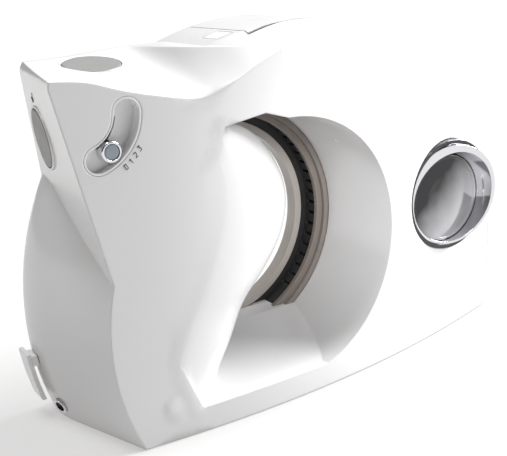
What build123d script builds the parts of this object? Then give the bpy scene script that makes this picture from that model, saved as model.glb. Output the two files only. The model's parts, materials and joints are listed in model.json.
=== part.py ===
from build123d import *
import math
import os

# Portable carry vacuum cleaner. Units are millimetres, +Z is up, and the front faces -Y.
# The origin is on the flat underside, straight below the drum's centre line and halfway through its depth.
# The functions below build with Y counted from the front of the plate; build() shifts everything at the end.

# ---- drum body ----
drum_front_radius = 150.0      # radius of the drum at its front plane
drum_axis_height = 59.0        # height of the drum's centre line above the resting plane
drum_flare = 0.32              # growth of radius per millimetre of depth
flare_depth = 50.0             # depth over which the drum flares straight
drum_back_radius = 172.5       # largest radius, behind the flare
back_round = 12.0              # rounding of the drum's back edge
crown_rise = 7.0               # oval that trims the flare: how far its top stands above the front circle
crown_side = 6.5               # the same at the right
crown_left = 3.5               # how far it clears the largest radius at the left
crown_drop = 3.0               # how far its centre lies below the drum's centre line
body_depth = 92.0              # overall depth of the body
origin_depth = 46.0            # depth of the origin behind the front of the plate
front_dome_radius = 714.0      # radius of the front plate, curved about a vertical line
dome_centre_x = -46.0          # where the front plate stands furthest forward
front_round = 14.0             # broad rounding between the front plate and the drum side
crisp_left_x = -100.0          # left of this the front edge is crisp
wall = 2.6                     # moulded wall
seam_y = 27.0                  # plane where the front shell meets the lid
seam_gap = 0.6                 # clearance all along the lid's edge
split_x = -46.0                # where the lid starts on top
lid_bottom_z = 13.0            # lower edge of the lid

# ---- snout with the controls ----
snout_low_z = 92.0
snout_left_low_x = -146.8      # left edge of the front plate, low and high
snout_left_top_x = -171.4
snout_back_low_x = -146.0      # left edge of the back, low and high
snout_back_top_x = -154.0
snout_top_z = 206.0
snout_right_x = -42.0
snout_corner_round = 8.0
scoop_line = [(-178, 201.5, 203), (-161, 200.5, 203.5), (-148, 198.4, 203.5), (-138.5, 195, 203.5),
              (-120, 189.5, 204), (-105, 186, 205), (-91, 184.3, 207), (-80, 187.5, 215),
              (-73, 190.5, 223), (-59, 197.5, 236), (-44, 203.5, 247), (-30, 214, 262)]
scoop_back_y = 85.0            # depth of the scoop's back line; the list holds x, front z and back z

# ---- carrying opening and grip ----
bore_x = -40.3
bore_z = 89.5
bore_radius = 77.8
bore_floor_z = 14.6            # floor of the opening at the front
floor_rise = 11.5              # how far that floor climbs on its way back to the ring
bore_corner = [(-84, 150), (-80, 168.5), (-55, 172.0), (-40.3, 167.3)]
bore_left_x = -117.0
grip_sections = [(-6, -117, 30), (8, -117, 32), (20, -119, 35), (32, -121, 43), (45, -116, 45),
                 (60, -110, 46), (70, -105, 49), (82, -98, 53), (95, -92, 56), (110, -86, 55),
                 (125, -82, 51), (140, -81.5, 45), (155, -85, 38), (167, -88, 22), (176, -90, 14)]
grip_half_depth = 23.0
grip_wall = 3.0

# ---- ring in the opening ----
ring_front_y = 68.0
flange_step = 3.0
flange_step_radius = 74.2
flange_inner_radius = 70.4
grille_inner_radius = 71.4
grille_wall = 2.4
grille_depth = 11.0
grille_slots = 60
grille_slot_width = 2.2
filter_thickness = 3.6
rear_rim_inner_radius = 66.0
lip_inner_radius = 61.0        # pale lip inside the rear rim
lip_depth = 9.0
fit_gap = 0.15                 # gap between pieces that sit in one another

# ---- hose port ----
port_x = 92.0
port_z = 96.0
port_bezel_radius = 36.0
port_bezel_wall = 2.6
port_front_y = 9.0             # front of the bezel ring
port_seat_y = 22.0             # floor of the round recess
collar_wall = 1.8              # wall at the collar's rim
collar_run = 0.12              # running gap between bezel and swivel collar
collar_reach = 1.5             # how far the collar's centre stands in front of the bezel
collar_tilt_z = 2.0            # lean of its cut, top standing further out, in degrees
collar_tilt_x = 10.5           # lean of its cut, right side standing further out, in degrees
collar_floor_y = 14.0          # where the collar's funnel meets the stopper
cap_radius = 28.0
cap_drop = 3.2                 # how far the stopper sits below the port's centre
cap_gap = 0.3
cap_thickness = 2.0
cap_dish = 90.0                # radius of the stopper's hollow face
cap_rim = 1.4
duct_length = 10.0
duct_flange = 4.0

# ---- slide control ----
slide_centre_x = -156.4
slide_centre_z = 184.4
slide_radius = 24.6
slide_pocket_half = 7.3
slide_start = -70.0            # angle of the lower lobe
slide_end = -3.0               # angle of the upper lobe
knob_angle = -52.5             # angle of the knob at rest
slide_travel = 36.0
tray_floor_y = 12.0
tray_wall = 1.0
slot_radius = 19.8
slot_width = 3.4
knob_radius = 5.4
knob_front_y = 5.6
knob_back_y = 11.5
digit_height = 2.6
digit_radius = 35.2
digit_pitch = 6.1

# ---- push buttons ----
button_radius = 16.0
button_ring = 1.2
button_gap = 0.35
button_thickness = 3.4
button_travel = 1.6
button_stem = 3.6
button_proud = 0.9             # how far a cap stands out of its face
switch_height = 5.0
top_button_x = -123.0
top_button_y = 63.0
side_button_y = 62.0
side_button_z = 166.0
icon_height = 3.4

# ---- motor and fan ----
motor_x = -115.0
motor_z = 161.0
motor_radius = 21.0
motor_length = 34.0
motor_back_y = 84.0
motor_wall = 1.6
shaft_radius = 2.5
fan_radius = 18.5
fan_depth = 9.0
fan_blades = 9
mount_wall = 1.6

# ---- lid hardware, feet and small pieces ----
hinge_pin_radius = 1.6
hinge_running_gap = 0.06
hinge_knuckle_radius = 3.4
hinge_y = 95.4
hinge_z = 12.0
hinge_places = [46.0, 104.0]   # centre of each hinge along X
hinge_knuckle = 12.0           # length of the lid's knuckle
hinge_side_gap = 0.4
latch_x = -54.0
latch_y = 46.0
latch_length = 16.0
latch_width = 10.0
latch_travel = 2.4
foot_radius = 8.0
foot_thickness = 2.0           # rubber pads, let in flush with the underside
foot_boss_radius = 4.2
foot_boss_height = 9.0
foot_head_recess = 1.4
foot_places = [(-115, 20), (118, 34), (-118, 76), (118, 76)]
screw_radius = 1.6
screw_head = 3.2
screw_head_height = 1.2
boss_radius = 4.2
inlet_radius = 4.6
inlet_y = 66.0
inlet_z = 9.5
clip_thickness = 2.4
clip_gap = 3.0
clip_y0 = 74.0
clip_y1 = 88.0
clip_low_z = 12.0
clip_high_z = 42.0
latch_gap = 0.4
latch_well_z = 205.4
lid_ring_gap = 2.6
bag_gap = 3.0
bag_side_gap = 11.0            # how far the bag keeps inside the drum's front radius: the lid swings past it
vent_rows = 9
vent_low_z = 20.0
vent_pitch = 4.2
vent_width = 1.8
vent_x0 = -140.0
vent_x1 = -126.0
panel_screws = [(-144, 96), (-66, 184), (-100, 186), (-123, 18)]


def dome_y(x):
    """Depth of the front plate at a given x."""
    return front_dome_radius - math.sqrt(front_dome_radius ** 2 - (x - dome_centre_x) ** 2)


def box(x0, x1, y0, y1, z0, z1):
    return Pos((x0 + x1) / 2, (y0 + y1) / 2, (z0 + z1) / 2) * Box(x1 - x0, y1 - y0, z1 - z0)


def prism(points, y0, y1):
    """A prism along Y from a closed list of (x, z) points."""
    face = make_face(Polyline([(x, y0, z) for x, z in points], close=True))
    return extrude(face, amount=y1 - y0, dir=(0, 1, 0))


def disc(x, z, radius, y0, y1):
    """A cylinder along Y."""
    return Pos(x, (y0 + y1) / 2, z) * Rot(90, 0, 0) * Cylinder(radius, y1 - y0)


def ring(x, z, outer, inner, y0, y1):
    return disc(x, z, outer, y0, y1) - disc(x, z, inner, y0 - 1, y1 + 1)


def crown(inset):
    """Oval prism that trims the drum's flare, most of all at the top."""
    left, right = -drum_back_radius - crown_left, drum_front_radius + crown_side
    centre_z = drum_axis_height - crown_drop
    half_height = drum_axis_height + drum_front_radius + crown_rise - centre_z
    plane = Plane(((left + right) / 2, 150, centre_z), x_dir=(1, 0, 0), z_dir=(0, -1, 0))
    return extrude(plane * Ellipse((right - left) / 2 - inset, half_height - inset), 250)


def drum_solid(inset, rounding):
    """The flared drum, its side, back and front moved inwards by inset."""
    start_y = -12.0
    start_r = drum_front_radius + drum_flare * start_y - inset
    flare_r = drum_front_radius + drum_flare * flare_depth - inset
    back_r = drum_back_radius - inset
    back_y = body_depth - inset
    corner = max(back_round - inset, 2.0)
    straight = Line((start_r, start_y, 0), (flare_r, flare_depth, 0))
    side = Spline(straight @ 1, (back_r, back_y - corner, 0), tangents=[(drum_flare, 1, 0), (0, 1, 0)])
    turn = ThreePointArc((back_r, back_y - corner, 0),
                         (back_r - corner * (1 - math.sqrt(0.5)), back_y - corner * (1 - math.sqrt(0.5)), 0),
                         (back_r - corner, back_y, 0))
    close = Polyline((back_r - corner, back_y, 0), (0, back_y, 0), (0, start_y, 0), (start_r, start_y, 0))
    face = make_face([straight, side, turn, *close.edges()])
    drum = Pos(0, 0, drum_axis_height) * revolve(face, Axis.Y, 360)
    dome = Pos(dome_centre_x, front_dome_radius, 0) * Cylinder(front_dome_radius - inset, 900)
    drum = drum & dome
    if rounding > 0:
        rim = [e for e in drum.edges() if e.center().Y < 40 and e.length > 300][0]
        drum = fillet(rim, rounding)
    return drum & crown(inset)


def snout_left_x(y, z):
    """The snout's left face, a ruled surface between its front and back edges."""
    up = (z - snout_low_z) / (snout_top_z - snout_low_z)
    front = snout_left_low_x + (snout_left_top_x - snout_left_low_x) * up
    back = snout_back_low_x + (snout_back_top_x - snout_back_low_x) * up
    return front + (back - front) * y / body_depth


def snout_solid(inset):
    """The block at the upper left that carries the controls."""
    sections = []
    for y in (0.0, body_depth - inset):
        left = [(snout_left_x(y, z) + inset * 1.02, y, z) for z in (snout_low_z, snout_top_z - inset)]
        points = [*left, (snout_right_x, y, snout_top_z - inset), (snout_right_x, y, snout_low_z)]
        sections.append(make_face(Polyline(points, close=True)))
    block = loft(sections, ruled=True)
    block = fillet(block.edges().filter_by(lambda e: abs(e.tangent_at(0.5).Y) > 0.9).sort_by(Axis.X)[:2]
                   .sort_by(Axis.Z)[-1], snout_corner_round - inset)
    back = [e for e in block.edges() if e.center().Y > body_depth - inset - 0.01
            and e.center().Z > snout_low_z + 1 and e.center().X < snout_right_x - 1]
    block = fillet(back, 5.0 - inset * 0.5)
    dome = Pos(dome_centre_x, front_dome_radius, 0) * Cylinder(front_dome_radius - inset, 900)
    return block & dome


def scoop_solid(inset):
    """What is taken off the top, from the front plate's wavy upper edge to the back."""
    sections = []
    for y, index in ((-14.0, 1), (scoop_back_y, 2)):
        points = []
        for row in scoop_line:
            front_y = dome_y(row[0])
            slope = (row[2] - row[1]) / (scoop_back_y - front_y)
            height = row[1] - slope * (front_y - y) if index == 1 else row[2]
            points.append((row[0], y, height - inset))
        low = Spline(points)
        rest = Polyline(points[-1], (points[-1][0], y, 320), (points[0][0], y, 320), points[0])
        sections.append(make_face([low, *rest.edges()]))
    solid = loft(sections, ruled=True)
    return solid + extrude(sections[1], amount=30, dir=(0, 1, 0))


def body_solid(inset):
    """The whole outer body with every face moved inwards by inset."""
    drum = drum_solid(inset, max(front_round - inset, 1.0)) & box(crisp_left_x, 300, -20, 200, inset, 400)
    crisp = drum_solid(inset, 0) & box(-300, crisp_left_x, -20, 200, inset, 400)
    body = (drum + crisp) + snout_solid(inset)
    body = body - scoop_solid(inset)
    return body & box(-300, 300, -50, 200, inset, 400)


def opening_face(extra):
    """Outline of the carrying opening, grown by extra, drawn flat with Y standing for height."""
    points = [*bore_corner, (bore_x, bore_floor_z), (bore_left_x + 12, bore_floor_z),
              (bore_left_x, bore_z - 45), (bore_left_x, bore_z + 30)]
    left = make_face(Polyline(points, close=True))
    outline = Pos(bore_x, bore_z) * Circle(bore_radius) + left
    outline = outline - Pos(bore_x, bore_floor_z - 100) * Rectangle(400, 200)
    if extra:
        outline = offset(outline, extra)
    return outline


def opening(extra, y0, y1):
    """The carrying opening, grown by extra, from depth y0 to y1."""
    plane = Plane((0, y0, 0), x_dir=(1, 0, 0), z_dir=(0, -1, 0))
    return extrude(plane * opening_face(extra), amount=y1 - y0, dir=(0, 1, 0))


def floor_ramp():
    """The climbing floor of the opening, level under the ring."""
    high = bore_floor_z + floor_rise
    outline = Polyline((6, bore_floor_z - 1), (6, bore_floor_z), (ring_front_y, high), (body_depth, high),
                       (body_depth, bore_floor_z - 1), close=True)
    plane = Plane((-200, 0, 0), x_dir=(0, 1, 0), z_dir=(1, 0, 0))
    return extrude(plane * make_face(outline), 400) & opening(0.3, -40, 150)


def grip_solid(inset):
    """The rounded bar of the grip, its surface moved inwards by inset."""
    sections = []
    for z, x, half in grip_sections:
        centre_y = dome_y(x) + 0.3 + grip_half_depth
        plane = Plane((x, centre_y, z), x_dir=(1, 0, 0), z_dir=(0, 0, 1))
        sections.append(plane * Ellipse(half - inset, grip_half_depth - inset))
    return loft(sections) & opening(wall / 2 + inset, -40, 80)


def grip_left_region(y0, y1):
    """Everything to the left of the grip's middle line."""
    line = [(x, z) for z, x, half in grip_sections]
    return prism([(-260, -20), *line, (-76, 260), (-260, 260)], y0, y1)


def slide_point(angle, radius):
    a = math.radians(angle)
    return slide_centre_x + radius * math.cos(a), slide_centre_z + radius * math.sin(a)


def slide_band(radius, half, start, end, y0, y1):
    """A curved band with round ends, about the slide's turning centre."""
    solid = ring(slide_centre_x, slide_centre_z, radius + half, radius - half, y0, y1)
    far = radius * 4
    middle = (start + end) / 2
    wedge = [(slide_centre_x, slide_centre_z), slide_point(start, far), slide_point(middle, far),
             slide_point(end, far)]
    solid = solid & prism(wedge, y0 - 1, y1 + 1)
    for angle in (start, end):
        solid = solid + disc(*slide_point(angle, radius), half, y0, y1)
    return solid


def top_button_frame():
    """Place on the sloping top, with local Z pointing out of it."""
    front_z = 190.6
    slope = (203.9 - front_z) / (scoop_back_y - dome_y(top_button_x))
    z = front_z + slope * (top_button_y - dome_y(top_button_x))
    return Location((top_button_x, top_button_y, z), (math.degrees(math.atan(slope)), 0, 0))


def side_button_frame():
    """Place on the snout's left face, with local Z pointing out of it."""
    y, z = side_button_y, side_button_z
    step = button_radius
    across = (snout_left_x(y + step, z) - snout_left_x(y - step, z)) / (2 * step)
    up = (snout_left_x(y, z + step) - snout_left_x(y, z - step)) / (2 * step)
    centre = (snout_left_x(y, z) - 0.15, y, z)
    return Plane(centre, x_dir=(0, 0, 1), z_dir=(-1, across, up)).location


def button_hole(frame):
    return frame * Cylinder(button_radius + button_ring + fit_gap, 24)


def button_ring_solid(frame):
    """The thin collar that lines a button's hole."""
    collar = Cylinder(button_radius + button_ring, 7) - Cylinder(button_radius + button_gap, 9)
    return frame * Pos(0, 0, -2.8) * collar


def button_cap(frame):
    """A round cap with a softened rim and a stem underneath."""
    cap = Cylinder(button_radius, button_thickness)
    cap = fillet(cap.edges().sort_by(Axis.Z)[-1], 1.0)
    cap = cap + Pos(0, 0, -button_thickness / 2 - button_stem / 2) * Cylinder(3.0, button_stem)
    return frame * Pos(0, 0, button_proud - button_thickness / 2) * cap


def button_switch(frame):
    depth = button_proud - button_thickness - button_stem - button_travel - 0.4
    return frame * Pos(0, 0, depth - switch_height / 2) * Box(13, 9, switch_height)


def power_icon():
    """An open ring with a bar, the usual mark for power."""
    mark = Cylinder(icon_height / 2, 0.5) - Cylinder(icon_height / 2 - 0.45, 1)
    mark = mark - Pos(0, icon_height / 2, 0) * Box(1.3, 1.6, 1)
    return [mark, Pos(0, icon_height / 2 - 0.7, 0) * Box(0.45, 1.8, 0.5)]


def reel_icon():
    """A coil with a short tail, the usual mark for rewinding the cord."""
    mark = Cylinder(icon_height / 2, 0.5) - Cylinder(icon_height / 2 - 0.45, 1)
    tail = Pos(icon_height * 0.85, -icon_height / 2, 0) * Box(1.6, 0.45, 0.5)
    return [mark, Cylinder(icon_height / 4, 0.5), tail]


def icon_marks(top, side):
    """The small marks beside the two push buttons, let into the surface."""
    reach = button_radius + button_ring + icon_height
    marks = [top * Pos(-reach, -2, 0) * part for part in power_icon()]
    marks += [side * Pos(reach, 2, -0.2) * part for part in reel_icon()]
    return marks


def port_slab(lift, thickness):
    """A leaning slab that follows the port's slanted cut, its front face lifted by lift."""
    lean_z = math.tan(math.radians(collar_tilt_z))
    lean_x = math.tan(math.radians(collar_tilt_x))
    front = Plane((port_x, port_front_y - collar_reach + lift, port_z), z_dir=(lean_x, 1, lean_z))
    return front * Pos(0, 0, thickness / 2) * Box(300, 300, thickness)


def latch_pocket(gap):
    """The recess at the top where the latch pad sits, beside the start of the lid's edge."""
    return box(latch_x - latch_width / 2 - gap, latch_x + latch_width / 2 + gap,
               latch_y - latch_length / 2 - gap, latch_y + latch_length / 2 + gap, 203, 260)


def inlet_frame():
    """Place on the drum's left side, with local Z pointing out of it."""
    drop = drum_axis_height - inlet_z
    radius = drum_front_radius + drum_flare * inlet_y
    x = -math.sqrt(radius ** 2 - drop ** 2)
    return Plane((x, inlet_y, inlet_z), z_dir=(x, -drum_flare * radius, -drop)).location


def hinge_span(x, side):
    """Start and end along X of a hinge's knuckle: 0 is the lid's, -1 and 1 the housing's."""
    if side == 0:
        return x - hinge_knuckle / 2, x + hinge_knuckle / 2
    near = hinge_knuckle / 2 + hinge_side_gap
    low, high = near, near + hinge_knuckle * 0.7
    return (x - high, x - low) if side < 0 else (x + low, x + high)


def along_x(radius, x0, x1):
    return Pos((x0 + x1) / 2, hinge_y, hinge_z) * Rot(0, 90, 0) * Cylinder(radius, x1 - x0)


def hinge_knuckles(sides, web_low, web_high):
    """Knuckles on the back face, each with a web running up or down it."""
    solid = Part()
    for x in hinge_places:
        for side in sides:
            x0, x1 = hinge_span(x, side)
            solid = solid + along_x(hinge_knuckle_radius, x0, x1)
            solid = solid + box(x0, x1, body_depth - wall, hinge_y, web_low, web_high)
    return solid


def hinge_bores(radius):
    solid = Part()
    for x in hinge_places:
        solid = solid + along_x(radius, x - hinge_knuckle * 1.6, x + hinge_knuckle * 1.6)
    return solid


def front_housing(body, cavity):
    """Front plate, snout, left half, sill and grip, moulded in one."""
    region = box(-300, 300, -50, seam_y, 0, 400) + box(-300, split_x, -50, 200, 0, 400)
    region = region + box(-300, 300, -50, 200, 0, lid_bottom_z)
    shell = (body - cavity - opening(0, -40, 150)) & region
    tube = (opening(wall, -40, ring_front_y) - opening(0, -50, ring_front_y + 1)) & cavity
    late = (opening(wall, ring_front_y - 1, 150) - opening(0, ring_front_y - 2, 151)) & cavity
    late = late & box(-300, 300, 0, 200, 0, bore_floor_z + 0.01)
    web = (body - cavity) & grip_left_region(-20, 22) & opening(wall / 2, -40, 40)
    shell = shell + tube + late + web + floor_ramp()
    shell = shell + (grip_solid(0) & body)
    shell = shell - grip_solid(grip_wall)
    shell = shell - opening(wall + fit_gap, body_depth - wall - 0.2, 150)
    shell = shell - back_window(0)
    seat_outer = port_bezel_radius + fit_gap + wall
    shell = shell + (disc(port_x, port_z, seat_outer, 0, port_seat_y + wall) & cavity)
    shell = shell - disc(port_x, port_z, port_bezel_radius + fit_gap, -40, port_seat_y)
    shell = shell - disc(port_x, port_z, port_bezel_radius - 9, -40, port_seat_y + 20)
    shell = shell - slide_band(slide_radius, slide_pocket_half + fit_gap, slide_start, slide_end, -20, 30)
    for frame in (top_button_frame(), side_button_frame()):
        shell = shell - button_hole(frame)
    for x, z in panel_screws:
        boss = disc(x, z, boss_radius, 0, body_depth - wall - 1) & cavity
        shell = shell + boss - disc(x, z, screw_radius + 0.1, body_depth - 14, body_depth)
    well = latch_pocket(wall) & box(-300, 300, -50, 200, latch_well_z - wall, 400) & body
    shell = shell + well - (latch_pocket(latch_gap) & box(-300, 300, -50, 200, latch_well_z, 400))
    shell = shell + hinge_knuckles((-1, 1), 4, hinge_z) - hinge_bores(hinge_pin_radius)
    shell = shell - inlet_frame() * Cylinder(inlet_radius + fit_gap, 12)
    for x, y in foot_places:
        floor = foot_thickness + wall
        shell = shell + Pos(x, y, floor / 2) * Cylinder(foot_radius + fit_gap + wall, floor)
        shell = shell + Pos(x, y, foot_boss_height / 2) * Cylinder(foot_boss_radius, foot_boss_height)
        shell = shell - Pos(x, y, 0) * Cylinder(foot_radius + fit_gap, foot_thickness * 2)
        shell = shell - Pos(x, y, 0) * Cylinder(screw_radius + 0.1, foot_boss_height * 2 - 2)
    return shell


def back_window(gap):
    """The opening at the back of the left half, closed by the back panel."""
    y0 = body_depth - wall - 1
    outline = disc(0, drum_axis_height, drum_back_radius - back_round - 3 - gap, y0, body_depth + 1)
    snout = prism([(-136 + gap, 100), (-138 + gap, 190 - gap), (split_x - 8 - gap, 190 - gap),
                   (split_x - 8 - gap, 100)], y0, body_depth + 1)
    window = (outline + snout) & box(-300, split_x - 8 - gap, y0, body_depth + 1, 8 + gap, 190 - gap)
    return window - opening(wall + 6 + gap, y0 - 1, body_depth + 2)


def back_panel():
    """Flat panel with exhaust slots and screw holes."""
    panel = back_window(fit_gap) & box(-300, 300, body_depth - wall, body_depth, 0, 400)
    for row in range(vent_rows):
        z = vent_low_z + row * vent_pitch
        panel = panel - box(vent_x0, vent_x1, body_depth - 10, body_depth + 5, z, z + vent_width)
    for x, z in panel_screws:
        panel = panel - disc(x, z, screw_radius, body_depth - 10, body_depth + 5)
        panel = panel - disc(x, z, screw_head + 0.2, body_depth - 1.4, body_depth + 5)
    return panel


def dust_lid(body, cavity):
    """The C-shaped rear cover over the dust bag."""
    region = box(split_x + seam_gap, 300, seam_y + seam_gap, 200, lid_bottom_z + seam_gap, 400)
    lid = (body - cavity) & region
    lid = lid - opening(wall + lid_ring_gap, -40, 150)
    lid = lid + hinge_knuckles((0,), hinge_z, lid_bottom_z + 8)
    lid = lid - box(-300, 300, 0, body_depth + hinge_side_gap, 0, lid_bottom_z + seam_gap)
    return lid - hinge_bores(hinge_pin_radius + hinge_running_gap)


def round_ring(outer, inner, y0, y1):
    """A ring in the opening, standing on its flat floor."""
    solid = ring(bore_x, bore_z, outer, inner, y0, y1)
    return solid & box(-300, 300, -50, 200, bore_floor_z + floor_rise + fit_gap, 400)


def ring_flange():
    """Two-stepped flange that fills the opening down to the ring."""
    y1 = ring_front_y + flange_step
    face = opening(-fit_gap, y1, y1 + flange_step)
    face = face - disc(bore_x, bore_z, flange_inner_radius, y1 - 1, y1 + flange_step + 1)
    step = round_ring(bore_radius - fit_gap, flange_step_radius, ring_front_y, y1)
    return (face & box(-300, 300, -50, 200, bore_floor_z + floor_rise + fit_gap, 400)) + step


def grille_start():
    return ring_front_y + flange_step * 2


def exhaust_grille():
    """Slotted dark ring that lets the exhaust air out around the opening."""
    y0 = grille_start()
    solid = round_ring(grille_inner_radius + grille_wall, grille_inner_radius, y0, y0 + grille_depth)
    for index in range(grille_slots):
        a = 360 * index / grille_slots
        slot = Pos(grille_inner_radius, 0, 0) * Box(20, grille_slot_width, grille_depth - 3.4)
        slot = Pos(bore_x, y0 + grille_depth / 2, bore_z) * Rot(90, 0, 0) * Rot(0, 0, a) * slot
        if math.sin(math.radians(a)) * grille_inner_radius < bore_floor_z + floor_rise - bore_z + 8:
            continue
        solid = solid - slot
    return solid


def exhaust_filter():
    inner = grille_inner_radius + grille_wall + fit_gap
    y0 = grille_start() + 0.3
    return round_ring(min(inner + filter_thickness, bore_radius - 0.2), inner, y0, y0 + grille_depth - 0.6)


def rear_rim():
    """Trim that closes the ring at the back."""
    y0 = grille_start() + grille_depth
    face = opening(wall - fit_gap, y0 + 1.5, body_depth)
    face = face - disc(bore_x, bore_z, rear_rim_inner_radius + 2, 0, 200)
    lip = round_ring(rear_rim_inner_radius + 6, rear_rim_inner_radius, y0, body_depth)
    rim = face + lip
    return rim & box(-300, 300, -50, 200, bore_floor_z + floor_rise + fit_gap, 400)


def rear_lip():
    """Pale ring pressed into the rear rim."""
    return round_ring(rear_rim_inner_radius - fit_gap, lip_inner_radius, body_depth - lip_depth, body_depth)


def port_bezel():
    inner = port_bezel_radius - port_bezel_wall
    return ring(port_x, port_z, port_bezel_radius, inner, port_front_y, port_seat_y)


def collar_outer():
    return port_bezel_radius - port_bezel_wall - collar_run


def port_circle(radius, drop, y):
    """A circle across the port, drop below its centre."""
    plane = Plane((port_x, y, port_z - drop), x_dir=(1, 0, 0), z_dir=(0, -1, 0))
    return plane * Circle(radius)


def swivel_collar():
    """Slanted funnel that turns in the bezel and leads down to the stopper."""
    outer = collar_outer()
    back_y = port_seat_y - 0.4
    tube = disc(port_x, port_z, outer, port_front_y - 40, back_y) & port_slab(0, 120)
    funnel = loft([port_circle(cap_radius + cap_gap + 0.2, cap_drop, collar_floor_y),
                   port_circle(outer - collar_wall, 0, collar_floor_y - 16)], ruled=True)
    mouth = disc(port_x, port_z, outer - collar_wall, port_front_y - 40, collar_floor_y - 15.9)
    seat = disc(port_x, port_z - cap_drop, cap_radius + cap_gap, collar_floor_y - 0.1,
                collar_floor_y + cap_thickness + cap_gap)
    bore = disc(port_x, port_z - cap_drop, cap_radius - cap_rim, collar_floor_y, back_y + 1)
    return tube - funnel - mouth - seat - bore


def port_cap():
    """Dished stopper at the bottom of the funnel."""
    z = port_z - cap_drop
    front_y = collar_floor_y
    plate = disc(port_x, z, cap_radius, front_y, front_y + cap_thickness)
    hollow = Pos(port_x, front_y - cap_dish + 1.3, z) * Sphere(cap_dish)
    bead = ring(port_x, z, cap_radius, cap_radius - cap_rim, front_y - 0.8, front_y + cap_thickness)
    return plate - hollow + bead


def inlet_duct():
    outer = port_bezel_radius - 9 - fit_gap
    y0 = port_seat_y
    tube = ring(port_x, port_z, outer, outer - 2, y0, y0 + wall + duct_length)
    flange = ring(port_x, port_z, outer + duct_flange, outer - 2, y0 + wall, y0 + wall + 2)
    return tube + flange


def bag_plate():
    y0 = port_seat_y + wall + duct_length + 0.2
    plate = box(port_x - 32, port_x + 32, y0, y0 + 2, port_z - 42, port_z + 34)
    return plate - disc(port_x, port_z, port_bezel_radius - 15, y0 - 1, y0 + 3)


def dust_bag():
    """Bag of the shape of the space behind the port."""
    y0 = port_seat_y + wall + duct_length + 2.5
    bag = disc(0, drum_axis_height, drum_front_radius - bag_side_gap, y0, body_depth - wall - bag_gap)
    bag = bag & box(bore_x + 20, 300, 0, 200, lid_bottom_z + 6, 178)
    return bag - opening(wall + bag_gap + 2, -40, 150)


def motor_case():
    y0 = motor_back_y - motor_length
    case = disc(motor_x, motor_z, motor_radius, y0, motor_back_y)
    case = case - disc(motor_x, motor_z, motor_radius - motor_wall, y0 + motor_wall,
                       motor_back_y - motor_wall)
    core = ring(motor_x, motor_z, motor_radius - motor_wall, 11, y0 + 8, motor_back_y - 8)
    case = case + core - disc(motor_x, motor_z, shaft_radius + 0.05, 0, 200)
    return case


def motor_shaft():
    return disc(motor_x, motor_z, shaft_radius, fan_front_y() - 1.5, motor_back_y - motor_wall - 0.4)


def fan_front_y():
    return motor_back_y - motor_length - 2.5 - fan_depth


def fan_impeller():
    """Backplate, hub and curved blades of the suction fan."""
    y0 = fan_front_y()
    y1 = y0 + fan_depth
    fan = disc(motor_x, motor_z, fan_radius, y1 - 1.4, y1) + disc(motor_x, motor_z, 5.5, y0, y1)
    blade = ring(fan_radius * 0.62, 0, fan_radius * 0.62, fan_radius * 0.62 - 1.2, y0 + 0.5, y1)
    blade = blade & disc(0, 0, fan_radius, y0, y1) & box(-100, 100, -100, 200, 0, 100)
    blade = blade - disc(0, 0, 4.5, y0 - 1, y1 + 1)
    for index in range(fan_blades):
        turned = blade.rotate(Axis.Y, 360 * index / fan_blades)
        fan = fan + Pos(motor_x, 0, motor_z) * turned
    return fan - disc(motor_x, motor_z, shaft_radius, 0, 200)


def fan_shroud():
    y0 = fan_front_y() - 3.0
    y1 = motor_back_y - motor_length
    shroud = disc(motor_x, motor_z, motor_radius, y0, y1)
    shroud = shroud - disc(motor_x, motor_z, motor_radius - motor_wall, y0 + motor_wall, y1 + 1)
    return shroud - disc(motor_x, motor_z, 10, y0 - 1, y0 + 3)


def motor_mount():
    """Rubber ring with a foot that carries the motor on the back panel."""
    outer = motor_radius + mount_wall
    sleeve = ring(motor_x, motor_z, outer, motor_radius, motor_back_y - 14, motor_back_y - 4)
    neck = ring(motor_x, motor_z, outer, motor_radius, motor_back_y - 5, motor_back_y + 1)
    foot = ring(motor_x, motor_z, outer, motor_radius - 6, motor_back_y, body_depth - wall)
    return sleeve + foot + neck


def slide_tray(body):
    """White cup with a curved slot that lines the kidney-shaped recess."""
    outer = slide_band(slide_radius, slide_pocket_half, slide_start, slide_end, -5, tray_floor_y + tray_wall)
    inner = slide_band(slide_radius, slide_pocket_half - tray_wall, slide_start, slide_end, -20, tray_floor_y)
    slot = slide_band(slot_radius, slot_width / 2, knob_angle - 5, knob_angle + slide_travel + 5, 0, 30)
    return (outer & body) - inner - slot


def slide_knob():
    """Round finger knob with a raised rim."""
    knob = disc(*slide_point(knob_angle, slide_radius), knob_radius, knob_front_y, knob_back_y)
    knob = fillet(knob.edges().sort_by(Axis.Y)[0], 0.8)
    return knob - disc(*slide_point(knob_angle, slide_radius), knob_radius - 1.3, knob_front_y - 1,
                       knob_front_y + 1.6)


def knob_insert():
    """Glossy lens in the knob, with a domed front."""
    centre = slide_point(knob_angle, slide_radius)
    lens = disc(*centre, knob_radius - 1.4, knob_front_y + 0.1, knob_front_y + 1.6)
    return fillet(lens.edges().sort_by(Axis.Y)[0], 0.9)


def slide_carriage():
    """Post and curved runner behind the tray."""
    post = disc(*slide_point(knob_angle, slot_radius), slot_width / 2 - 0.35, knob_back_y, tray_floor_y + 3)
    y0 = tray_floor_y + tray_wall + 0.4
    runner = slide_band(slot_radius, slot_width, knob_angle - 8, knob_angle + 8, y0, y0 + 1.6)
    return post + runner


def speed_board():
    y0 = tray_floor_y + tray_wall + 3.4
    return box(-152, -118, y0, y0 + 1.6, 150, 186)


def stroke(x0, z0, x1, z1, y0, y1, thick):
    """A printed stroke between two points of the front plate."""
    length = math.hypot(x1 - x0, z1 - z0)
    angle = math.degrees(math.atan2(z1 - z0, x1 - x0))
    bar = Box(length + thick, y1 - y0, thick)
    return Pos((x0 + x1) / 2, (y0 + y1) / 2, (z0 + z1) / 2) * Rot(0, -angle, 0) * bar


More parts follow.
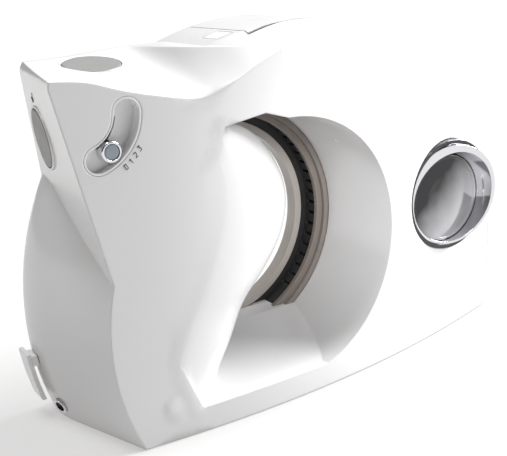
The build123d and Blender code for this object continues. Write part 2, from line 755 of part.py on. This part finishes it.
def digit_marks():
    """The marks 0, 1, 2 and 3 beside the slide, standing just proud of the plate."""
    shapes = {0: [(-1, -2), (1, -2), (1, 2), (-1, 2), (-1, -2)], 1: [(-0.8, 1), (0.3, 2), (0.3, -2)],
              2: [(-1, 2), (1, 2), (1, 0.1), (-1, -2), (1, -2)],
              3: [(-1, 2), (1, 2), (0, 0.4), (1, -0.4), (1, -1.4), (0.3, -2), (-1, -2)]}
    lean = knob_angle + 90
    marks = []
    for digit, points in shapes.items():
        cx, cz = slide_point(knob_angle + digit_pitch * digit, digit_radius)
        unit = digit_height / 4
        y = dome_y(cx)
        turn = math.radians(lean)
        placed = []
        for u, v in points:
            placed.append((cx + unit * (u * math.cos(turn) - v * math.sin(turn)) * 0.9,
                           cz + unit * (u * math.sin(turn) + v * math.cos(turn))))
        solid = Part()
        for (x0, z0), (x1, z1) in zip(placed, placed[1:]):
            solid = solid + stroke(x0, z0, x1, z1, y - 0.15, y + 0.5, 0.35)
        marks.append(solid)
    return marks


def latch_pad(body):
    pad = latch_pocket(0) & body
    return pad & box(-300, 300, -50, 200, latch_well_z + latch_travel + 0.4, 400)


def feet():
    solids = []
    for x, y in foot_places:
        foot = Pos(x, y, foot_thickness / 2) * Cylinder(foot_radius, foot_thickness)
        foot = foot - Pos(x, y, 0) * Cylinder(screw_head + 0.3, foot_head_recess * 2)
        solids.append(foot - Pos(x, y, 0) * Cylinder(screw_radius + 0.1, 20))
    return solids


def screw(length):
    """A low-headed screw along -Z with its head at the top."""
    head = Pos(0, 0, screw_head_height / 2) * Cylinder(screw_head, screw_head_height)
    head = fillet(head.edges().sort_by(Axis.Z)[-1], 0.4)
    cross = Pos(0, 0, screw_head_height) * (Box(3.0, 0.7, 1.2) + Box(0.7, 3.0, 1.2))
    return head + Pos(0, 0, -length / 2) * Cylinder(screw_radius, length) - cross


def foot_screws():
    upside_down = Rot(180, 0, 0) * screw(foot_boss_height - 2.6)
    return [Pos(x, y, foot_head_recess) * upside_down for x, y in foot_places]


def back_screws():
    return [Pos(x, body_depth - 1.4, z) * Rot(-90, 0, 0) * screw(8.0) for x, z in panel_screws]


def hinge_pins():
    return [along_x(hinge_pin_radius, hinge_span(x, -1)[0] + 0.5, hinge_span(x, 1)[1] - 0.5)
            for x in hinge_places]


def power_inlet_ring():
    rim = Cylinder(inlet_radius, 7) - Cylinder(inlet_radius - 1.3, 9)
    return inlet_frame() * Pos(0, 0, -2.2) * rim


def power_inlet_core():
    core = Cylinder(inlet_radius - 1.3 - fit_gap, 5) - Pos(0, 0, 2) * Cylinder(1.6, 4)
    return inlet_frame() * Pos(0, 0, -3.0) * core


def rear_clip():
    """Thin curved plate that stands off the lower left of the back edge."""
    inner = drum_back_radius + clip_gap
    plate = ring(0, drum_axis_height, inner + clip_thickness, inner, clip_y0, clip_y1)
    plate = plate & box(-300, -100, 0, 200, clip_low_z, clip_high_z)
    stud = ring(0, drum_axis_height, inner + 0.5, drum_back_radius - 0.05, clip_y0 - 1, clip_y1 - 4)
    return plate + (stud & box(-300, -100, 0, 200, clip_high_z - 7, clip_high_z - 1))


def build():
    body = body_solid(0)
    cavity = body_solid(wall)
    top = top_button_frame()
    side = side_button_frame()
    return {
        "front_housing": front_housing(body, cavity),
        "back_panel": back_panel(),
        "dust_lid": dust_lid(body, cavity),
        "hinge_pins": hinge_pins(),
        "latch_pad": latch_pad(body),
        "ring_flange": ring_flange(),
        "exhaust_grille": exhaust_grille(),
        "exhaust_filter": exhaust_filter(),
        "rear_rim": rear_rim(),
        "rear_lip": rear_lip(),
        "port_bezel": port_bezel(),
        "swivel_collar": swivel_collar(),
        "port_cap": port_cap(),
        "inlet_duct": inlet_duct(),
        "bag_plate": bag_plate(),
        "dust_bag": dust_bag(),
        "motor_case": motor_case(),
        "motor_shaft": motor_shaft(),
        "fan_impeller": fan_impeller(),
        "fan_shroud": fan_shroud(),
        "motor_mount": motor_mount(),
        "slide_tray": slide_tray(body),
        "slide_knob": slide_knob(),
        "knob_insert": knob_insert(),
        "slide_carriage": slide_carriage(),
        "speed_board": speed_board(),
        "digit_marks": digit_marks(),
        "top_button": button_cap(top),
        "top_button_ring": button_ring_solid(top),
        "top_switch": button_switch(top),
        "icon_marks": icon_marks(top, side),
        "side_button": button_cap(side),
        "side_button_ring": button_ring_solid(side),
        "side_switch": button_switch(side),
        "feet": feet(),
        "foot_screws": foot_screws(),
        "back_screws": back_screws(),
        "power_inlet_ring": power_inlet_ring(),
        "power_inlet_core": power_inlet_core(),
        "rear_clip": rear_clip(),
    }


os.makedirs("parts", exist_ok=True)
for name, shape in build().items():
    if isinstance(shape, list):
        shape = Compound(children=shape)
    export_step(Pos(0, -origin_depth, 0) * shape, f"parts/{name}.step")
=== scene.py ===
import bpy, json, math
from mathutils import Vector, Matrix

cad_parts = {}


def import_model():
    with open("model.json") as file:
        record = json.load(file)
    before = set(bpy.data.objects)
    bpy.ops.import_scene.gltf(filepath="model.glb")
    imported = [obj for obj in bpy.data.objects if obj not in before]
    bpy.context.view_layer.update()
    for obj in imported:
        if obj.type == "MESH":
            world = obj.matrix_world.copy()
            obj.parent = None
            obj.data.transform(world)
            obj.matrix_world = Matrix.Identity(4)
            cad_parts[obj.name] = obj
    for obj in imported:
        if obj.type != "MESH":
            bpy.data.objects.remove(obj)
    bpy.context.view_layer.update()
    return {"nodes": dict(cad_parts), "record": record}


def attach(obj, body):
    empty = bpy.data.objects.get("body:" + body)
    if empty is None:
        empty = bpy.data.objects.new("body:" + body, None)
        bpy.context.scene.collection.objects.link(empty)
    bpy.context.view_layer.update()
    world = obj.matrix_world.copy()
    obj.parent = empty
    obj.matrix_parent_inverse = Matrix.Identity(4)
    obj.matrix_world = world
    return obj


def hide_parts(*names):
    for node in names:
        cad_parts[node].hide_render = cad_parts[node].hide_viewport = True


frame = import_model()
scene = bpy.context.scene
scene.view_settings.view_transform = "Standard"
scene.view_settings.look = "None"

FRONT_Y = -0.046                # the front plate's plane
SEAM_Y = FRONT_Y + 0.027        # where the lid meets the front shell
LID_START_X = -0.046            # where the lid starts on top
DRUM_AXIS_Z = 0.059
DRUM_RADIUS = 0.150             # at the front
GRIP_LINE = [(-0.117, 0.0), (-0.117, 0.008), (-0.119, 0.020), (-0.121, 0.032), (-0.116, 0.045),
             (-0.110, 0.060), (-0.105, 0.070), (-0.098, 0.082), (-0.092, 0.095), (-0.086, 0.110),
             (-0.082, 0.125), (-0.0815, 0.140), (-0.085, 0.155), (-0.088, 0.167),
             (-0.090, 0.176)]   # x and z of the grip's middle
GRIP_TOP = 0.18                 # a little above that line's end
GRIP_X = (-0.13, -0.07)         # the range of x that holds the line

VIEW_FROM = (-0.3038, -0.4159, 0.2516)
VIEW_AZIMUTH, VIEW_ELEVATION, VIEW_ROLL = -32.843, 17.542, -3.337    # degrees
LENS, SENSOR = 60.67, 36
VIEW_SHIFT = -0.0059            # share of the frame's width, both ways

FLOOR_HALF = 30
FLOOR_DROP = 0.0005             # keeps the floor clear of the underside
EDGE_ROUND = 0.0005             # how softly an ordinary moulded edge rolls over


# ---------- camera ----------
def camera():
    """Looks from the front left and a little above."""
    azimuth, elevation, roll = (math.radians(a) for a in (VIEW_AZIMUTH, VIEW_ELEVATION, VIEW_ROLL))
    right = Vector((math.cos(azimuth), math.sin(azimuth), 0))
    back = Vector((math.sin(azimuth) * math.cos(elevation), -math.cos(azimuth) * math.cos(elevation),
                   math.sin(elevation)))
    up = back.cross(right)
    x_axis = math.cos(roll) * right + math.sin(roll) * up
    y_axis = math.cos(roll) * up - math.sin(roll) * right
    data = bpy.data.cameras.new("camera")
    data.sensor_width, data.lens = SENSOR, LENS
    data.shift_x, data.shift_y = VIEW_SHIFT, VIEW_SHIFT
    data.clip_start, data.clip_end = 0.02, 100
    obj = bpy.data.objects.new("camera", data)
    scene.collection.objects.link(obj)
    turn = Matrix((x_axis, y_axis, back)).transposed().to_4x4()
    obj.matrix_world = Matrix.Translation(VIEW_FROM) @ turn
    scene.camera = obj


# ---------- light and floor ----------
def world():
    """Soft studio surround, dark on the left and bright on the right."""
    w = bpy.data.worlds.new("studio")
    scene.world = w
    w.use_nodes = True
    tree = w.node_tree
    tree.nodes.clear()
    out = tree.nodes.new("ShaderNodeOutputWorld")
    back = tree.nodes.new("ShaderNodeBackground")
    coord = tree.nodes.new("ShaderNodeTexCoord")
    split = tree.nodes.new("ShaderNodeSeparateXYZ")
    ramp = tree.nodes.new("ShaderNodeValToRGB")
    place = tree.nodes.new("ShaderNodeMapRange")
    place.inputs["From Min"].default_value = -1    # directions run from -1 to 1, the ramp from 0 to 1
    tree.links.new(coord.outputs["Generated"], split.inputs[0])
    tree.links.new(split.outputs["X"], place.inputs["Value"])
    tree.links.new(place.outputs[0], ramp.inputs["Fac"])
    stops = ramp.color_ramp
    stops.elements[0].position, stops.elements[0].color = 0.0, (0.07, 0.06, 0.055, 1)
    stops.elements[1].position, stops.elements[1].color = 1.0, (0.97, 0.97, 1.0, 1)
    middle = stops.elements.new(0.45)
    middle.color = (0.10, 0.093, 0.088, 1)
    tree.links.new(ramp.outputs[0], back.inputs["Color"])
    back.inputs["Strength"].default_value = 0.9
    tree.links.new(back.outputs[0], out.inputs[0])


def area(name, place, look_at, size, power, spread):
    """A rectangular lamp that doesn't show in the chrome."""
    data = bpy.data.lights.new(name, "AREA")
    data.spread = math.radians(spread)
    data.shape, data.size, data.size_y, data.energy = "RECTANGLE", size[0], size[1], power
    obj = bpy.data.objects.new(name, data)
    scene.collection.objects.link(obj)
    obj.location = place
    obj.rotation_euler = (Vector(look_at) - Vector(place)).to_track_quat("-Z", "Y").to_euler()
    obj.visible_glossy = False


def sun(name, direction, angle, strength):
    """A distant lamp; direction points from the object to it."""
    data = bpy.data.lights.new(name, "SUN")
    data.energy, data.angle = strength, math.radians(angle)
    obj = bpy.data.objects.new(name, data)
    scene.collection.objects.link(obj)
    obj.rotation_euler = (-Vector(direction)).to_track_quat("-Z", "Y").to_euler()


def floor():
    """Plain pale floor that fades into the surround."""
    mesh = bpy.data.meshes.new("floor")
    corners = [(x * FLOOR_HALF, y * FLOOR_HALF, -FLOOR_DROP) for x, y in ((-1, -1), (1, -1), (1, 1), (-1, 1))]
    mesh.from_pydata(corners, [], [(0, 1, 2, 3)])
    obj = bpy.data.objects.new("floor", mesh)
    scene.collection.objects.link(obj)
    m = bpy.data.materials.new("floor")
    m.use_nodes = True
    shader = m.node_tree.nodes["Principled BSDF"]
    shader.inputs["Base Color"].default_value = (0.27, 0.27, 0.27, 1)
    shader.inputs["Emission Color"].default_value = (1.0, 0.99, 0.985, 1)
    shader.inputs["Emission Strength"].default_value = 0.48
    shader.inputs["Roughness"].default_value = 0.9
    shader.inputs["Specular IOR Level"].default_value = 0.1
    mesh.materials.append(m)


# ---------- materials ----------
class Surface:
    """A Principled shader with its colour, roughness and bump driven by object-space patterns."""

    def __init__(self, name, colour, rough, metallic=0.0, coat=0.0, coat_rough=0.05, specular=0.5):
        self.material = bpy.data.materials.new(name)
        self.material.use_nodes = True
        self.tree = self.material.node_tree
        self.shader = self.tree.nodes["Principled BSDF"]
        self.colour, self.rough = colour, rough
        self.set("Base Color", (*colour, 1))
        self.set("Roughness", rough)
        self.set("Metallic", metallic)
        self.set("Coat Weight", coat)
        self.set("Coat Roughness", coat_rough)
        self.set("Specular IOR Level", specular)
        self.coord = self.tree.nodes.new("ShaderNodeTexCoord")
        self.height = self.rounded(EDGE_ROUND)

    def rounded(self, radius):
        """A normal that rolls softly over every moulded edge."""
        bevel = self.tree.nodes.new("ShaderNodeBevel")
        bevel.samples = 4
        bevel.inputs["Radius"].default_value = radius
        self.tree.links.new(bevel.outputs[0], self.shader.inputs["Normal"])
        self.bevel = bevel
        return bevel.outputs[0]

    def math(self, operation, a, b=None):
        """One sum; a and b are numbers or sockets."""
        node = self.tree.nodes.new("ShaderNodeMath")
        node.operation = operation
        for socket, value in zip(node.inputs, (a, b)):
            if isinstance(value, bpy.types.NodeSocket):
                self.tree.links.new(value, socket)
            elif value is not None:
                socket.default_value = value
        return node.outputs[0]

    def soft_ridge(self, line, reach):
        """Widens the rounding along the line of the grip, so that it flows out of the front plate."""
        split = self.tree.nodes.new("ShaderNodeSeparateXYZ")
        self.tree.links.new(self.coord.outputs["Object"], split.inputs[0])
        ramp = self.tree.nodes.new("ShaderNodeValToRGB")
        self.tree.links.new(self.ranged(split.outputs["Z"], 0, 1, 0, GRIP_TOP), ramp.inputs["Fac"])
        stops = ramp.color_ramp.elements
        low_x, high_x = GRIP_X
        for index, (x, z) in enumerate(line):
            place = z / GRIP_TOP
            stop = stops[index] if index < 2 else stops.new(place)
            stop.position = place
            value = (x - low_x) / (high_x - low_x)
            stop.color = (value, value, value, 1)
        centre = self.ranged(ramp.outputs["Color"], low_x, high_x, 0, 1)
        away = self.math("ABSOLUTE", self.math("SUBTRACT", split.outputs["X"], centre))
        near = self.ranged(away, 1, 0, reach * 0.6, reach * 1.5)
        front = self.ranged(split.outputs["Y"], 1, 0, FRONT_Y + 0.003, FRONT_Y + 0.012)
        mask = self.math("MULTIPLY", near, front)
        radius = self.ranged(mask, 0.0014, reach, 0, 1)
        self.tree.links.new(radius, self.bevel.inputs["Radius"])
        self.bevel.samples = 10

    def set(self, socket, value):
        """A constant on the shader's own socket."""
        self.shader.inputs[socket].default_value = value

    def noise(self, scale, detail=3.0, stretch=None):
        """Noise that stays with the object; scale counts patches per metre."""
        node = self.tree.nodes.new("ShaderNodeTexNoise")
        node.inputs["Scale"].default_value = scale
        node.inputs["Detail"].default_value = detail
        source = self.coord.outputs["Object"]
        if stretch:
            mapping = self.tree.nodes.new("ShaderNodeMapping")
            mapping.inputs["Scale"].default_value = stretch
            self.tree.links.new(source, mapping.inputs["Vector"])
            source = mapping.outputs[0]
        self.tree.links.new(source, node.inputs["Vector"])
        return node.outputs["Fac"]

    def ranged(self, value, low, high, start=0.3, end=0.7):
        """Maps start..end to low..high and clamps."""
        node = self.tree.nodes.new("ShaderNodeMapRange")
        node.inputs["From Min"].default_value = start
        node.inputs["From Max"].default_value = end
        node.inputs["To Min"].default_value = low
        node.inputs["To Max"].default_value = high
        self.tree.links.new(value, node.inputs["Value"])
        return node.outputs[0]

    def mixed(self, fac, a, b):
        """Colour a, or b where fac is 1."""
        node = self.tree.nodes.new("ShaderNodeMix")
        node.data_type = "RGBA"
        for socket, value in ((node.inputs[0], fac), (node.inputs[6], a), (node.inputs[7], b)):
            if isinstance(value, bpy.types.NodeSocket):
                self.tree.links.new(value, socket)
            else:
                socket.default_value = value
        return node.outputs[2]

    def tone(self, scale, other, amount=1.0, detail=3.0, stretch=None):
        """Colour wanders from the base colour to another in soft patches."""
        fac = self.ranged(self.noise(scale, detail, stretch), 0.0, amount, 0.15, 0.85)
        self.colour_out = self.mixed(fac, (*self.colour, 1), (*other, 1))
        self.tree.links.new(self.colour_out, self.shader.inputs["Base Color"])

    def edges(self, colour, radius=0.0006, amount=0.6):
        """Worn edges: where the rounded normal leaves the true one."""
        bevel = self.tree.nodes.new("ShaderNodeBevel")
        bevel.samples = 4
        bevel.inputs["Radius"].default_value = radius
        geometry = self.tree.nodes.new("ShaderNodeNewGeometry")
        dot = self.tree.nodes.new("ShaderNodeVectorMath")
        dot.operation = "DOT_PRODUCT"
        self.tree.links.new(bevel.outputs[0], dot.inputs[0])
        self.tree.links.new(geometry.outputs["Normal"], dot.inputs[1])
        wear = self.ranged(dot.outputs["Value"], amount, 0.0, 0.72, 0.97)
        mixed = self.mixed(wear, self.colour_out, (*colour, 1))
        self.tree.links.new(mixed, self.shader.inputs["Base Color"])

    def painted_gap_shade(self, colour, reach):
        """Painted shade in the narrow gaps, where the faces stand close together: the base colour darkens
        with ambient occlusion.
        """
        crowded = self.tree.nodes.new("ShaderNodeAmbientOcclusion")
        crowded.samples = 6
        crowded.inputs["Distance"].default_value = reach
        shade = self.ranged(crowded.outputs["AO"], 0.9, 0.0, 0.2, 0.62)
        clean = self.shader.inputs["Base Color"].links[0].from_socket
        self.tree.links.new(self.mixed(shade, clean, (*colour, 1)), self.shader.inputs["Base Color"])

    def painted_seam_shadow(self, colour, half_width):
        """Painted shade along the lid's seam, on the drum's side only."""
        split = self.tree.nodes.new("ShaderNodeSeparateXYZ")
        self.tree.links.new(self.coord.outputs["Object"], split.inputs[0])
        x, y, z = split.outputs
        away = self.math("ABSOLUTE", self.math("SUBTRACT", y, SEAM_Y))
        near = self.ranged(away, 1, 0, half_width * 0.8, half_width * 1.2)
        up = self.math("SUBTRACT", z, DRUM_AXIS_Z)
        squares = self.math("ADD", self.math("MULTIPLY", x, x), self.math("MULTIPLY", up, up))
        radius = self.math("SQRT", squares)
        outside = self.ranged(radius, 0, 1, DRUM_RADIUS - 0.012, DRUM_RADIUS - 0.008)
        right = self.ranged(x, 0, 1, LID_START_X - 0.001, LID_START_X + 0.001)
        facing = self.tree.nodes.new("ShaderNodeSeparateXYZ")
        self.tree.links.new(self.coord.outputs["Normal"], facing.inputs[0])
        skin = self.ranged(self.math("ABSOLUTE", facing.outputs["Y"]), 1, 0, 0.5, 0.8)
        mask = self.math("MULTIPLY", self.math("MULTIPLY", near, outside), self.math("MULTIPLY", right, skin))
        clean = self.shader.inputs["Base Color"].links[0].from_socket
        self.tree.links.new(self.mixed(mask, clean, (*colour, 1)), self.shader.inputs["Base Color"])

    def gloss(self, scale, spread, stretch=None):
        """Roughness wanders about its base value."""
        low, high = self.rough - spread, self.rough + spread
        value = self.ranged(self.noise(scale, 2.0, stretch), low, high, 0.1, 0.9)
        self.tree.links.new(value, self.shader.inputs["Roughness"])

    def grain(self, scale, strength, distance=0.0002, detail=2.0, stretch=None):
        """Fine surface relief on top of the rounded normal."""
        bump = self.tree.nodes.new("ShaderNodeBump")
        bump.inputs["Strength"].default_value = strength
        bump.inputs["Distance"].default_value = distance
        self.tree.links.new(self.noise(scale, detail, stretch), bump.inputs["Height"])
        self.tree.links.new(self.height, bump.inputs["Normal"])
        self.height = bump.outputs[0]
        self.tree.links.new(self.height, self.shader.inputs["Normal"])


def plastics():
    """Surfaces of the moulded pieces, by material slot."""
    made = {}
    shell = Surface("shell_white", (0.71, 0.71, 0.715), 0.24, coat=0.3, coat_rough=0.05)
    shell.tone(6, (0.695, 0.692, 0.69), 1.0, 1.0)
    shell.edges((0.78, 0.78, 0.78), 0.0008, 0.3)
    # painted shade: near-black colour in the gaps and creases, driven by ambient occlusion
    shell.painted_gap_shade((0.10, 0.095, 0.09), 0.002)
    # painted shade: a dark line along the lid's seam, where the gap's shadow falls
    shell.painted_seam_shadow((0.06, 0.06, 0.06), 0.0010)
    shell.gloss(40, 0.05)
    shell.grain(1500, 0.05, 0.00005)
    shell.soft_ridge(GRIP_LINE, 0.012)
    made["white_shell"] = shell
    trim = Surface("trim_white", (0.80, 0.80, 0.805), 0.3, coat=0.2, coat_rough=0.08)
    trim.tone(25, (0.76, 0.76, 0.755), 0.8)
    trim.edges((0.88, 0.88, 0.88))
    trim.gloss(90, 0.06)
    trim.grain(1200, 0.08, 0.00006)
    made["white_trim"] = trim
    black = Surface("plastic_black", (0.018, 0.018, 0.02), 0.5)
    black.tone(60, (0.03, 0.029, 0.028), 0.9)
    black.edges((0.09, 0.09, 0.09))
    black.gloss(120, 0.1)
    black.grain(2200, 0.25, 0.0001)
    made["black_plastic"] = black
    taupe = Surface("plastic_taupe", (0.19, 0.165, 0.15), 0.42)
    taupe.tone(40, (0.23, 0.20, 0.18), 0.9)
    taupe.edges((0.36, 0.33, 0.31))
    taupe.gloss(80, 0.08)
    taupe.grain(1800, 0.2, 0.0001)
    made["taupe_plastic"] = taupe
    beige = Surface("plastic_beige", (0.40, 0.37, 0.345), 0.38)
    beige.tone(40, (0.36, 0.33, 0.30), 0.9)
    beige.edges((0.55, 0.52, 0.49))
    beige.gloss(80, 0.07)
    beige.grain(1800, 0.16, 0.0001)
    made["beige_plastic"] = beige
    grey = Surface("button_light", (0.21, 0.21, 0.205), 0.36)
    grey.tone(70, (0.24, 0.24, 0.235), 0.9)
    grey.edges((0.42, 0.42, 0.42))
    grey.gloss(150, 0.07)
    grey.grain(2600, 0.15, 0.00008)
    made["button_grey"] = grey
    dark = Surface("button_dark", (0.11, 0.105, 0.10), 0.36)
    dark.tone(70, (0.13, 0.125, 0.12), 0.9)
    dark.edges((0.3, 0.3, 0.3))
    dark.gloss(150, 0.07)
    dark.grain(2600, 0.15, 0.00008)
    made["dark_button"] = dark
    return made


def metals_and_rest():
    """Surfaces of everything else, by material slot."""
    made = {}
    chrome = Surface("chrome_plate", (0.78, 0.78, 0.80), 0.07, metallic=1.0)
    chrome.tone(30, (0.70, 0.70, 0.74), 0.8)
    chrome.edges((0.9, 0.9, 0.92), 0.0004, 0.5)
    chrome.gloss(70, 0.03)
    chrome.grain(700, 0.03, 0.00005)
    made["chrome"] = chrome
    lens = Surface("lens_blue_grey", (0.16, 0.19, 0.23), 0.1, coat=0.8, coat_rough=0.02)
    lens.tone(120, (0.24, 0.27, 0.31), 0.9)
    lens.edges((0.4, 0.43, 0.47), 0.0004)
    lens.gloss(100, 0.03)
    lens.grain(1200, 0.04, 0.00004)
    made["lens"] = lens
    steel = Surface("steel_turned", (0.52, 0.52, 0.53), 0.32, metallic=1.0)
    steel.tone(60, (0.44, 0.44, 0.455), 0.9, stretch=(1, 8, 1))
    steel.edges((0.7, 0.7, 0.71), 0.0003)
    steel.gloss(150, 0.09, stretch=(1, 12, 1))
    steel.grain(900, 0.12, 0.00006, stretch=(1, 14, 1))
    made["steel"] = steel
    rubber = Surface("rubber_black", (0.03, 0.03, 0.03), 0.75)
    rubber.tone(120, (0.05, 0.048, 0.045), 0.9)
    rubber.edges((0.09, 0.09, 0.09))
    rubber.gloss(200, 0.08)
    rubber.grain(1800, 0.4, 0.0002)
    made["rubber"] = rubber
    foam = Surface("foam_grey", (0.07, 0.07, 0.072), 0.95, specular=0.1)
    foam.tone(500, (0.03, 0.03, 0.03), 1.0)
    foam.edges((0.1, 0.1, 0.1))
    foam.gloss(300, 0.04)
    foam.grain(900, 0.9, 0.0008)
    made["foam"] = foam
    paper = Surface("paper_bag", (0.62, 0.54, 0.40), 0.85, specular=0.2)
    paper.tone(35, (0.68, 0.61, 0.48), 0.9, 8.0)
    paper.edges((0.72, 0.66, 0.54), 0.001)
    paper.gloss(90, 0.06)
    paper.grain(700, 0.5, 0.0004, 8.0)
    made["paper"] = paper
    board = Surface("board_green", (0.03, 0.16, 0.07), 0.4)
    board.tone(250, (0.05, 0.22, 0.10), 0.9)
    board.edges((0.4, 0.4, 0.3))
    board.gloss(200, 0.1)
    board.grain(1500, 0.3, 0.0001)
    made["board"] = board
    ink = Surface("printed_ink", (0.03, 0.03, 0.035), 0.5)
    ink.tone(900, (0.07, 0.07, 0.075), 0.9)
    ink.edges((0.1, 0.1, 0.1), 0.0002)
    ink.gloss(700, 0.1)
    ink.grain(3000, 0.1, 0.00003)
    made["print"] = ink
    return made


def stopper_painted_reflection():
    """Polished stopper with a painted reflection: nearly black at its upper left, silver grey at its lower
    right.
    """
    cap = Surface("cap_painted_reflection", (0.30, 0.30, 0.315), 0.14, metallic=0.6, coat=0.5, coat_rough=0.05)
    split = cap.tree.nodes.new("ShaderNodeSeparateXYZ")
    cap.tree.links.new(cap.coord.outputs["Object"], split.inputs[0])
    across = cap.math("SUBTRACT", split.outputs["X"], split.outputs["Z"])
    wander = cap.ranged(cap.noise(45, 2.0), -0.006, 0.006, 0.2, 0.8)
    painted_reflection_fade = cap.ranged(cap.math("ADD", across, wander), 0.0, 1.0, -0.016, 0.030)
    # painted reflection: colour runs from near black at the upper left to silver grey at the lower right
    cap.colour_out = cap.mixed(painted_reflection_fade, (0.008, 0.008, 0.01, 1), (0.62, 0.62, 0.64, 1))
    cap.edges((0.85, 0.85, 0.86), 0.0004, 0.5)
    cap.gloss(60, 0.04)
    cap.grain(800, 0.04, 0.00005)
    return cap


def dark_chrome():
    """Black chrome of the thin ring that frames the port."""
    ring = Surface("bezel_black_chrome", (0.10, 0.10, 0.105), 0.12, metallic=1.0)
    ring.tone(40, (0.07, 0.07, 0.078), 0.9)
    ring.edges((0.5, 0.5, 0.52), 0.0003, 0.5)
    ring.gloss(80, 0.04)
    ring.grain(800, 0.04, 0.00005)
    return ring


def paint():
    """Gives every node the surface of its slot; the port's bezel has one of its own."""
    surfaces = {**plastics(), **metals_and_rest(), "dark_gloss": stopper_painted_reflection()}
    framed = dark_chrome()
    slots = {part["node"]: part["material_slot"] for part in frame["record"]["subparts"]}
    for name, obj in frame["nodes"].items():
        surface = framed if name == "port_bezel" else surfaces[slots[name]]
        if not obj.data.materials:
            obj.data.materials.append(surface.material)
        for place in obj.material_slots:
            place.material = surface.material
    return surfaces


# ---------- studio ----------
camera()
world()
sun("key", (0.80, -0.15, 0.58), 32, 6.4)
sun("overhead", (-0.15, 0.05, 1.0), 20, 2.0)
area("opening fill", (-0.13, -0.42, 0.30), (0.055, -0.02, 0.10), (0.10, 0.14), 0.12, 34)
floor()
surfaces = paint()


# ---------- soft pieces ----------
def soft_copy(node, name, body, voxel, smooth, crumple):
    """The node's solid, remeshed, eased and crumpled a little inwards, as a piece of its own."""
    source = frame["nodes"][node]
    work = bpy.data.objects.new(name + "_work", source.data.copy())
    scene.collection.objects.link(work)
    remesh = work.modifiers.new("remesh", "REMESH")
    remesh.mode, remesh.voxel_size = "VOXEL", voxel
    ease = work.modifiers.new("ease", "SMOOTH")
    ease.factor, ease.iterations = 0.5, smooth
    clouds = bpy.data.textures.new(name + "_folds", "CLOUDS")
    clouds.noise_scale, clouds.noise_depth = 0.03, 2
    folds = work.modifiers.new("folds", "DISPLACE")
    folds.texture, folds.strength, folds.mid_level = clouds, crumple, 1.0
    shade = work.modifiers.new("ease more", "SMOOTH")
    shade.factor, shade.iterations = 0.5, 2
    bpy.context.view_layer.update()
    done = bpy.data.meshes.new_from_object(work.evaluated_get(bpy.context.evaluated_depsgraph_get()))
    bpy.data.objects.remove(work)
    piece = bpy.data.objects.new(name, done)
    scene.collection.objects.link(piece)
    done.materials.clear()
    done.shade_smooth()
    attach(piece, body)
    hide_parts(node)
    return piece


bag = soft_copy("dust_bag", "paper_bag", "housing", voxel=0.004, smooth=14, crumple=0.004)
bag.data.materials.append(surfaces["paper"].material)
foam = soft_copy("exhaust_filter", "foam_ring", "housing", voxel=0.0009, smooth=2, crumple=0.0003)
foam.data.materials.append(surfaces["foam"].material)
